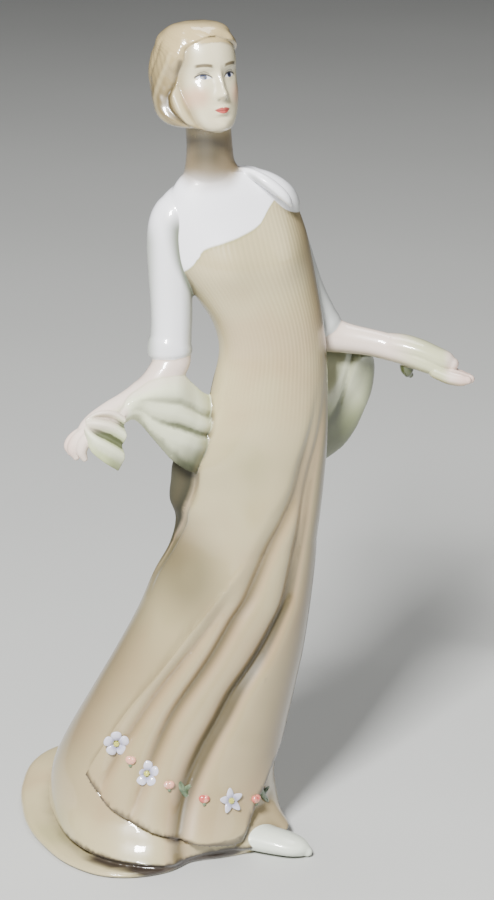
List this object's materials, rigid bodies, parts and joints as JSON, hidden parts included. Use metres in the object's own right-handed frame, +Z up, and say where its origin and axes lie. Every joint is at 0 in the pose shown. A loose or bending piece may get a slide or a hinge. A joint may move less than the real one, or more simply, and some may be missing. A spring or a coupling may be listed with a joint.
{
  "type": "porcelain lady figurine",
  "caption": "Glazed porcelain lady in a long pleated gown with a trailing hem, holding a shawl behind her hips; stands on its flat underside as a display ornament.",
  "frame": {"origin": "on the flat underside, under the middle of the gown", "axes": "+Z up, the gown faces -Y, her right hand is towards -X and her left hand towards +X"},
  "size_m": [0.1765, 0.1108, 0.3203],
  "materials": {
    "porcelain": "clear glossy glaze over soft painted colours"
  },
  "bodies": {
    "root": {"lady_figurine": "porcelain"}
  },
  "joints": []
}
